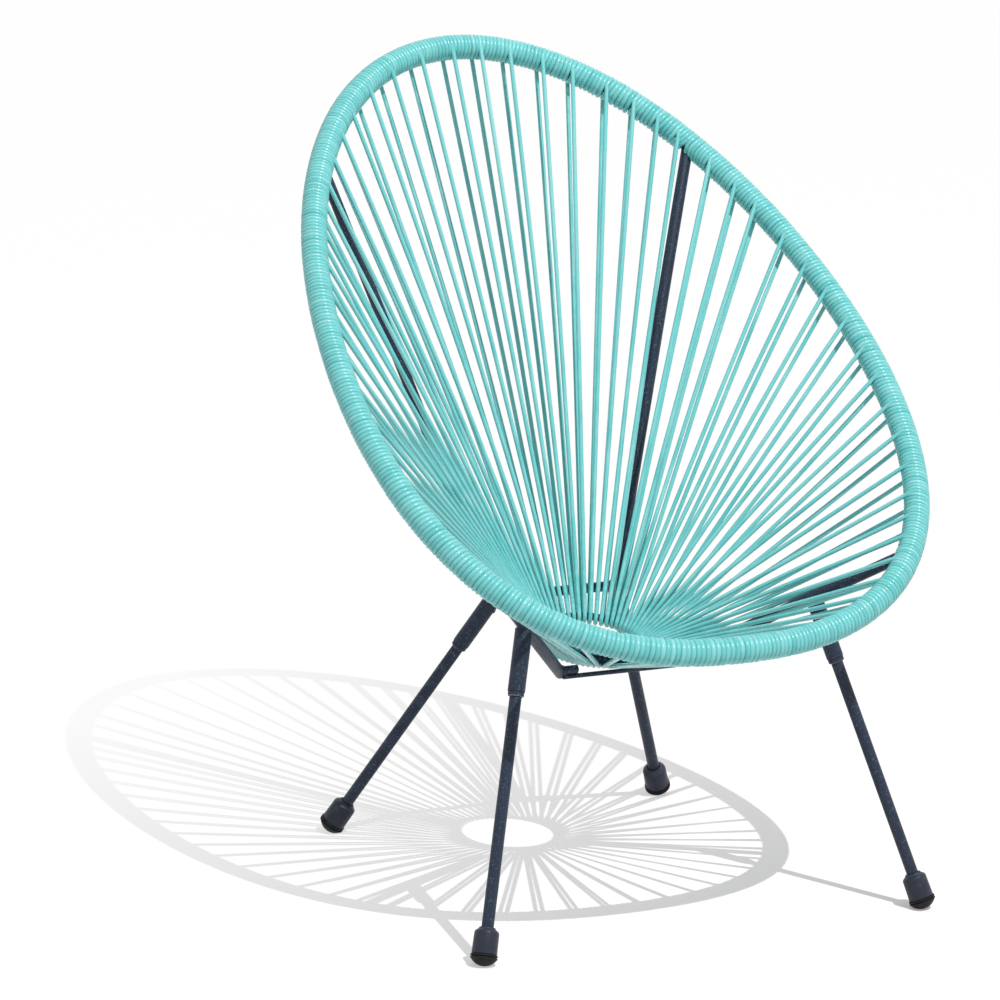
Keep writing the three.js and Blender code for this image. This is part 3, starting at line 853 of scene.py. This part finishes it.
@dataclass
class Rings(SubAssembly):
    """The hoop's bent tube and the welded centre ring."""

    hoop: HoopLine
    ring: RingLine
    hoop_points: int = 240
    hoop_sides: int = 24
    ring_steps: int = 96
    bar_sides: int = 20
    bar_crease: float = 60

    def build_hoop(self) -> Piece:
        """Sweeps the hoop's tube along its line."""
        arcs = np.arange(self.hoop_points) * self.hoop.length / self.hoop_points
        line = self.hoop.frames(arcs).centre
        return swept(line, self.hoop.tube, "hoop_tube", self.hoop_sides, closed=True)

    def build_ring(self) -> Piece:
        """Spins the bar's section into the centre ring."""
        form = bmesh.new()
        upright = Matrix.Translation((self.ring.radius, 0, 0)) @ Matrix.Rotation(math.pi / 2, 4, "X")
        bmesh.ops.create_circle(form, segments=self.bar_sides, radius=self.ring.bar, matrix=upright)
        bmesh.ops.spin(form, geom=form.verts[:] + form.edges[:], cent=(0, 0, 0), axis=(0, 0, 1),
                       angle=FULL_TURN, steps=self.ring_steps, use_merge=True)
        place = Matrix.Translation(self.ring.centre) @ Matrix.Rotation(self.ring.tilt, 4, "X")
        bmesh.ops.transform(form, matrix=place, verts=form.verts)
        return finish_mesh(form, "gathering_ring", self.bar_crease)

    def build(self) -> dict[str, Piece]:
        """Makes the hoop's tube and the ring."""
        return {"rim_hoop": self.build_hoop(), "centre_ring": self.build_ring()}


@dataclass
class Rib(SubAssembly):
    """One straight tube from the hoop down to the base, open at its foot."""

    hoop: HoopLine
    corner: Corner
    radius: float = 7 * MM
    wall: float = 1.5 * MM
    bore: float = 60 * MM
    edge: float = 0.4 * MM
    rear_end: Triple = (82.3 * MM, 63.6 * MM, 308.11 * MM)
    front_end: Triple = (76.7 * MM, -93.1 * MM, 257.84 * MM)
    rear_tail: float = 9 * MM
    front_tail: float = 2 * MM
    sides: int = 40

    def __post_init__(self) -> None:
        """Finds the rib's ends."""
        turn = REAR_RIB_TURN if self.corner.rear else FRONT_RIB_TURN
        top = Vector(self.hoop.points(np.array([turn]))[0])
        end = Vector(self.rear_end if self.corner.rear else self.front_end)
        mirror = Vector((self.corner.side, 1, 1))
        self.top, self.end = top * mirror, end * mirror
        self.direction = (self.end - self.top).normalized()
        self.foot = self.end + self.direction * (self.rear_tail if self.corner.rear else self.front_tail)

    def build(self) -> dict[str, Piece]:
        """Makes the tube between its ends."""
        corner = self.corner.value
        return {f"rib_{corner}": bar((self.top, self.foot), self.radius, f"rib_tube_{corner}", self.sides,
                                     self.edge, self.wall, self.bore)}


@dataclass(frozen=True)
class WeldBead:
    """A bead laid round the end of a tube where it meets the side of a rib."""

    rib: Rib
    radius: float = 1.3 * MM
    ripple: float = 0.14
    ripple_pitch: float = 1.9 * MM
    step: float = 0.6 * MM
    points: int = 96
    sides: int = 8

    def saddle(self, start: Vector, end: Vector, tube: float) -> Rows:
        """The line where the tube meets the side of the rib.

        Args:
            start: The tube's free end.
            end: A point on its axis inside the rib.
            tube: The tube's radius.

        Returns:
            The line's points, in order round the tube; sides that pass the rib have none.
        """
        rib = self.rib
        run = (end - start).normalized()
        first = run.orthogonal().normalized()
        second = run.cross(first)
        axis = (rib.foot - rib.top).normalized()
        ray = run - axis * run.dot(axis)
        line = []
        for swing in np.arange(self.points) * FULL_TURN / self.points:
            at = start + tube * (math.cos(swing) * first + math.sin(swing) * second)
            gap = (at - rib.top) - axis * (at - rib.top).dot(axis)
            a, b, c = ray.dot(ray), 2 * ray.dot(gap), gap.dot(gap) - rib.radius ** 2
            inside = b * b - 4 * a * c
            if inside >= 0:
                travel = (-b - math.sqrt(inside)) / (2 * a)
                if travel <= (end - start).length:
                    line.append(at + run * travel)
        return np.array(line)

    def build(self, name: str, start: Vector, end: Vector, tube: float) -> Piece:
        """Lays the bead at even steps and with its ripple.

        Args:
            name: The bead's name, before that of its corner.
            start: The tube's free end.
            end: A point on its axis inside the rib.
            tube: The tube's radius.

        Returns:
            The bead.
        """
        line = self.saddle(start, end, tube)
        loop = np.vstack([line, line[:1]])
        run = lengths(loop)
        steps = np.arange(0, run[-1], self.step)
        even = np.stack([np.interp(steps, run, loop[:, axis]) for axis in range(3)], axis=-1)
        swell = 1 + self.ripple * np.sin(steps * FULL_TURN / self.ripple_pitch)
        return swept(even, self.radius, f"{name}_{self.rib.corner.value}", self.sides, True, swell)


@dataclass
class Ties(SubAssembly):
    """The tube between the rear ribs, the rod under the front ribs and their short returns."""

    ribs: dict[Corner, Rib]
    tie_radius: float = 6 * MM
    rod_radius: float = 2.75 * MM
    rod_reach: float = 75 * MM
    rod_edge: float = 0.5 * MM
    fit: float = 0.3 * MM
    return_radius: float = 5 * MM
    return_wall: float = 1.2 * MM
    return_length: float = 24 * MM
    return_edge: float = 0.3 * MM
    sides: int = 32

    def build_tie(self) -> Piece:
        """The tube from one rear rib to the other."""
        ends = self.ribs[Corner.REAR_LEFT].end, self.ribs[Corner.REAR_RIGHT].end
        return bar(ends, self.tie_radius, "rear_tie_tube", self.sides)

    def return_ends(self, corner: Corner) -> tuple[Vector, Vector]:
        """Where a front rib's short return leaves the middle of the rib, and its open end."""
        rib = self.ribs[corner]
        start = rib.end - rib.direction * rib.radius
        return start, start + Vector((-corner.side * self.return_length, 0, 0))

    def build_rod(self) -> Piece:
        """The thin rod below the returns of the front ribs."""
        start = self.return_ends(Corner.FRONT_RIGHT)[0]
        height = start.z - self.return_radius - self.fit - self.rod_radius
        left, right = (Vector((side * self.rod_reach, start.y, height)) for side in (-1, 1))
        return bar((left, right), self.rod_radius, "front_tie_rod", self.sides, self.rod_edge)

    def build_return(self, corner: Corner) -> Piece:
        """The short tube that turns inwards from a front rib's foot."""
        return bar(self.return_ends(corner), self.return_radius, f"return_tube_{corner.value}", self.sides,
                   self.return_edge, self.return_wall, self.return_length / 2)

    def build_welds(self) -> list[Piece]:
        """Beads where the tie and the returns meet their ribs."""
        left, right = self.ribs[Corner.REAR_LEFT], self.ribs[Corner.REAR_RIGHT]
        middle = (left.end + right.end) / 2
        beads = [WeldBead(rib).build("tie_weld", middle, rib.end, self.tie_radius) for rib in (left, right)]
        for corner in (Corner.FRONT_LEFT, Corner.FRONT_RIGHT):
            start, inner = self.return_ends(corner)
            bead = WeldBead(self.ribs[corner])
            beads.append(bead.build("return_weld", inner, start, self.return_radius))
        return beads

    def build(self) -> dict[str, Piece]:
        """Makes the tie, the rod, the returns and their welds."""
        pieces = {"tie_rear": self.build_tie(), "tie_rod_front": self.build_rod()}
        for corner in (Corner.FRONT_LEFT, Corner.FRONT_RIGHT):
            pieces[f"rib_return_{corner.value}"] = self.build_return(corner)
        pieces.update((weld.name, weld) for weld in self.build_welds())
        return pieces


@dataclass
class Leg(SubAssembly):
    """A socket on its rib, the leg in it with a collar, and the foot's cap and glide."""

    rib: Rib
    sides: int = 40
    fit: float = 0.3 * MM
    # Socket and its mouth
    socket_radius: float = 10 * MM
    socket_edge: float = 0.7 * MM
    front_socket: float = 75.5 * MM
    rear_socket: float = 71 * MM
    bore_depth: float = 54 * MM
    seat_share: float = 0.45
    front_share: float = 0.405
    collar_radius: float = 9.3 * MM
    collar_height: float = 5 * MM
    collar_edge: float = 0.15 * MM
    mouth_chamfer: float = 0.8 * MM
    mouth_facing: float = 0.5
    # Leg
    leg_radius: float = 7 * MM
    leg_edge: float = 0.6 * MM
    insert: float = 48 * MM
    front_foot: Span = (287.6 * MM, -323.6 * MM)
    rear_foot: Span = (221.1 * MM, 179.6 * MM)
    # Cap: its shoulder slopes from the body to the neck
    cap_radius: float = 14.6 * MM
    cap_height: float = 24 * MM
    cap_edge: float = 0.7 * MM
    cap_draft: float = 0.5 * MM
    cap_floor: float = 4 * MM
    shoulder_inset: float = 1.1 * MM
    shoulder_share: float = 0.3
    neck_radius: float = 9.7 * MM
    neck_height: float = 6.6 * MM
    neck_share: float = 0.75
    # Glide: from its top down a flange, a groove and a domed sole
    glide_radius: float = 14.8 * MM
    glide_band: float = 5 * MM
    glide_edge: float = 0.35 * MM
    glide_lip: float = 0.8 * MM
    glide_groove: float = 1.1 * MM
    groove_slope: float = 0.2 * MM
    flange_share: float = 0.4
    sole_share: float = 0.62
    tread_share: float = 0.3
    dome_height: float = 8 * MM
    dome_steps: int = 10
    pad_cut: float = 1 * MM
    foot_sides: int = 48
    foot_crease: float = 50

    def __post_init__(self) -> None:
        """Finds the leg's axis and the heights along it, from the middle of the glide's dome."""
        corner = self.rib.corner
        self.bore = self.leg_radius + self.fit
        self.dome = (self.glide_radius ** 2 + self.dome_height ** 2) / (2 * self.dome_height)
        across, back = self.rear_foot if corner.rear else self.front_foot
        self.foot = Vector((corner.side * across, back, self.dome - self.pad_cut))
        self.seat = self.rib.top.lerp(self.rib.end, 1 if corner.rear else self.front_share)
        self.reach = (self.seat - self.foot).length
        self.glide_top = self.dome_height - self.dome + self.glide_band
        self.cap_base = self.glide_top + self.fit
        self.cap_top = self.cap_base + self.cap_height
        self.socket_base = self.reach - (self.rear_socket if corner.rear else self.front_socket)
        self.socket_top = self.reach - self.rib.radius * self.seat_share

    def place(self, form: Form, name: str, crease: float = 40, stands: bool = False) -> Piece:
        """Lays a turned form along the leg and finishes it.

        Args:
            form: The form, turned along +Z.
            name: The piece's name, before that of its corner.
            crease: The angle in degrees past which an edge stays sharp in the shading.
            stands: True for a form that is cut flat where it stands on the floor.

        Returns:
            The piece.
        """
        bmesh.ops.transform(form, matrix=along(self.foot, self.seat), verts=form.verts)
        if stands:
            cut = bmesh.ops.bisect_plane(form, geom=form.verts[:] + form.edges[:] + form.faces[:],
                                         plane_co=(0, 0, 0), plane_no=(0, 0, -1), clear_outer=True)
            edges = [part for part in cut["geom_cut"] if isinstance(part, bmesh.types.BMEdge)]
            bmesh.ops.contextual_create(form, geom=edges)
        return finish_mesh(form, f"{name}_{self.rib.corner.value}", crease)

    def build_socket(self) -> Piece:
        """The welded socket, closed at its top and bored from below."""
        base, bored = self.socket_base, self.socket_base + self.bore_depth
        outline = [(0, bored), (self.bore, bored), (self.bore, base), (self.socket_radius, base),
                   (self.socket_radius, self.socket_top), (0, self.socket_top)]
        return self.place(turned(outline, self.sides, self.socket_edge), "socket_tube")

    def build_collar(self) -> Piece:
        """The narrower mouth of the socket, chamfered."""
        top = self.socket_base - self.fit
        base = top - self.collar_height
        radius, inset = self.collar_radius, self.mouth_chamfer
        outline = [(self.bore, base), (radius - inset, base), (radius, base + inset), (radius, top),
                   (self.bore, top), (self.bore, base)]
        return self.place(turned(outline, self.sides, self.collar_edge), "socket_collar")

    def build_leg(self) -> Piece:
        """The leg's tube."""
        base = self.cap_base + self.cap_floor + self.fit
        top = self.socket_base + self.insert
        outline = [(0, base), (self.leg_radius, base), (self.leg_radius, top), (0, top)]
        return self.place(turned(outline, self.sides, self.leg_edge), "leg_tube")

    def build_cap(self) -> Piece:
        """The moulded cap with its sloping shoulder."""
        neck_top = self.cap_top + self.neck_height
        inside = self.cap_base + self.cap_floor
        outline = [
            (0, self.cap_base), (self.cap_radius, self.cap_base),
            (self.cap_radius - self.cap_draft, self.cap_top),
            (self.cap_radius - self.shoulder_inset, self.cap_top + self.shoulder_share * self.neck_height),
            (self.neck_radius, self.cap_top + self.neck_share * self.neck_height),
            (self.neck_radius - self.cap_draft, neck_top), (self.bore, neck_top), (self.bore, inside),
            (0, inside),
        ]
        form = turned(outline, self.foot_sides, self.cap_edge, segments=4)
        return self.place(form, "foot_cap_shell", self.foot_crease)

    def build_glide(self) -> Piece:
        """The rubber glide: a domed sole with a groove under its flange, flat where it stands."""
        angles = np.linspace(0, math.asin(self.glide_radius / self.dome), self.dome_steps + 1)
        dome = [(self.dome * math.sin(angle), -self.dome * math.cos(angle)) for angle in angles]
        top, rim = self.glide_top, self.glide_radius + self.glide_lip
        deep, slope = self.glide_radius - self.glide_groove, self.groove_slope
        sole, flange = top - self.glide_band * self.sole_share, top - self.glide_band * self.flange_share
        band = [(rim, sole - self.glide_band * self.tread_share), (rim, sole), (deep, sole + slope),
                (deep, flange - slope), (rim, flange), (rim, top - slope), (self.glide_radius, top)]
        form = turned([*dome, *band, (0, top)], self.foot_sides, self.glide_edge)
        return self.place(form, "foot_glide_sole", self.foot_crease, stands=True)

    def build_weld(self) -> Piece:
        """The bead round the socket's upper end, where it takes the rib."""
        axis = (self.seat - self.foot).normalized()
        start = self.foot + axis * (self.socket_base + self.bore_depth)
        end = self.foot + axis * self.socket_top
        return WeldBead(self.rib).build("socket_weld", start, end, self.socket_radius)

    def build(self) -> dict[str, Piece]:
        """Makes the leg's five pieces and the weld."""
        corner = self.rib.corner.value
        return {f"leg_socket_{corner}": self.build_socket(), f"leg_collar_{corner}": self.build_collar(),
                f"leg_{corner}": self.build_leg(), f"foot_cap_{corner}": self.build_cap(),
                f"foot_glide_{corner}": self.build_glide(), f"socket_weld_{corner}": self.build_weld()}

    def bare_mouth(self, collar: Piece, wardrobe: Wardrobe) -> None:
        """Leaves the collar's sawn end without its coat."""
        collar.data.materials.append(wardrobe.sawn)
        down = (self.foot - self.seat).normalized()
        for face in collar.data.polygons:
            height = (face.center - self.foot).dot(-down)
            facing = face.normal.dot(down) > self.mouth_facing
            bare = facing and height < self.socket_base - self.collar_height / 2
            face.material_index = int(bare)

    def dress(self, pieces: dict[str, Piece], wardrobe: Wardrobe) -> None:
        """Gives each piece its finish and body, hides the CAD nodes that they replace, and bares the
        collar's mouth.
        """
        super().dress(pieces, wardrobe)
        self.bare_mouth(pieces[f"leg_collar_{self.rib.corner.value}"], wardrobe)


# Studio


@dataclass
class Studio:
    """Pale floor, soft sky, one high lamp and the camera at the photograph's angle."""

    azimuth: float = -0.5041
    elevation: float = 0.2483
    roll: float = 0.044
    focal_share: float = 6.1158
    distance: float = 7.3439
    target: Triple = (-0.0019, 0.2048, 0.3855)
    sensor: float = 36.0
    far_clip: float = 200.0
    lamp_place: Triple = (1.479, -7.322, 15.2)
    lamp_target: Triple = (0.0, -0.1, 0.4)
    lamp_size: float = 0.1
    lamp_power: float = 2120.0
    sky: float = 0.45
    floor_size: float = 60.0
    floor_colour: int = 0xFCF4F4
    bounce_colour: int = 0xD2D2D2
    floor_light: float = 0.91
    # The shadow's share of the floor's own shade, and the reach over which it grows to the near right
    shades: Span = (0.08, 0.83)
    fade_reach: Span = (-0.76, 0.36)
    fade_direction: Triple = (0.597, -0.802, 0.0)

    def camera(self) -> None:
        """Sets the camera."""
        turn = Matrix.Rotation(self.azimuth, 4, "Z")
        turn @= Matrix.Rotation(math.pi / 2 - self.elevation, 4, "X")
        turn @= Matrix.Rotation(self.roll, 4, "Z")
        data = bpy.data.cameras.new("photo_camera")
        data.sensor_fit = "HORIZONTAL"
        data.sensor_width = self.sensor
        data.lens = self.focal_share * self.sensor
        data.clip_end = self.far_clip
        camera = linked("photo_camera", data)
        away = Matrix.Translation((0, 0, self.distance))
        camera.matrix_world = Matrix.Translation(self.target) @ turn @ away
        bpy.context.scene.camera = camera

    @staticmethod
    def seen(tree: Tree) -> bpy.types.NodeSocket:
        """One for rays from the camera, a gloss or a clear body, for which the backdrop is white."""
        path = add_node(tree, "LightPath").outputs
        gloss = add_node(tree, "Math", {"operation": "MAXIMUM"},
                         {0: path["Is Glossy Ray"], 1: path["Is Transmission Ray"]})
        return add_node(tree, "Math", {"operation": "MAXIMUM"},
                        {0: path["Is Camera Ray"], 1: gloss.outputs[0]}).outputs[0]

    def lights(self) -> None:
        """Sets the lamp and the sky."""
        lamp = bpy.data.lights.new("high_lamp", "AREA")
        lamp.shape = "DISK"
        lamp.size = self.lamp_size
        lamp.energy = self.lamp_power
        place = Vector(self.lamp_place)
        aim = (Vector(self.lamp_target) - place).to_track_quat("-Z", "Y")
        linked("high_lamp", lamp).matrix_world = Matrix.Translation(place) @ aim.to_matrix().to_4x4()
        world = bpy.data.worlds.new("studio_sky")
        world.use_nodes = True
        tree = world.node_tree
        tree.nodes.clear()
        dim = add_node(tree, "Background", {"Color": WHITE, "Strength": self.sky})
        white = add_node(tree, "Background", {"Color": WHITE, "Strength": 1.0})
        mix = add_node(tree, "MixShader", {}, {0: self.seen(tree), 1: dim.outputs[0], 2: white.outputs[0]})
        add_node(tree, "OutputWorld", {}, {"Surface": mix.outputs[0]})
        bpy.context.scene.world = world

    def floor(self) -> None:
        """Makes the pale floor, which shows white where no shadow falls."""
        form = bmesh.new()
        bmesh.ops.create_grid(form, x_segments=2, y_segments=2, size=self.floor_size / 2)
        floor = finish_mesh(form, "studio_floor")
        material, tree, _ = started("studio_floor")
        tree.nodes.clear()
        place = add_node(tree, "TexCoord").outputs["Object"]
        # The shadow fades with distance to the left and back, as on the photograph's floor
        reach = add_node(tree, "VectorMath", {"operation": "DOT_PRODUCT", 1: self.fade_direction},
                         {0: place})
        shade = add_node(tree, "MapRange", {
            "From Min": self.fade_reach[0], "From Max": self.fade_reach[1],
            "To Min": self.shades[0], "To Max": self.shades[1]}, {"Value": reach.outputs["Value"]})
        glow = add_node(tree, "Math", {"operation": "MULTIPLY_ADD", 1: -self.floor_light, 2: 1.0},
                        {0: shade.outputs[0]})
        light = add_node(tree, "Emission", {"Color": WHITE}, {"Strength": glow.outputs[0]})
        dark = add_node(tree, "BsdfDiffuse", {"Color": BLACK})
        pale = add_node(tree, "BsdfDiffuse", {"Color": linear(self.floor_colour)})
        thin = add_node(tree, "MixShader", {},
                        {0: shade.outputs[0], 1: dark.outputs[0], 2: pale.outputs[0]})
        lit = add_node(tree, "AddShader", {}, {0: thin.outputs[0], 1: light.outputs[0]})
        # Less light comes back up from the floor than its white says, as under the photograph's lamp
        bounce = add_node(tree, "BsdfDiffuse", {"Color": linear(self.bounce_colour)})
        mix = add_node(tree, "MixShader", {}, {0: self.seen(tree), 1: bounce.outputs[0], 2: lit.outputs[0]})
        add_node(tree, "OutputMaterial", {}, {"Surface": mix.outputs[0]})
        floor.data.materials.append(material)

    def build(self) -> None:
        """Sets up the whole studio."""
        self.camera()
        self.lights()
        self.floor()
        bpy.context.scene.view_settings.view_transform = "Standard"


def main() -> None:
    """Builds and dresses the chair, sub-assembly by sub-assembly."""
    logging.basicConfig(level=logging.INFO, format="%(name)s: %(message)s")
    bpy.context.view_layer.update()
    Studio().build()
    wardrobe = Wardrobe()
    hoop, ring = HoopLine(), RingLine()
    ribs = {corner: Rib(hoop, corner) for corner in Corner}
    legs = [Leg(rib) for rib in ribs.values()]
    for part in (Rings(hoop, ring), SeatCord(hoop, ring), *ribs.values(), Ties(ribs), *legs):
        part.dress(part.build(), wardrobe)


if __name__ == "__main__":
    main()
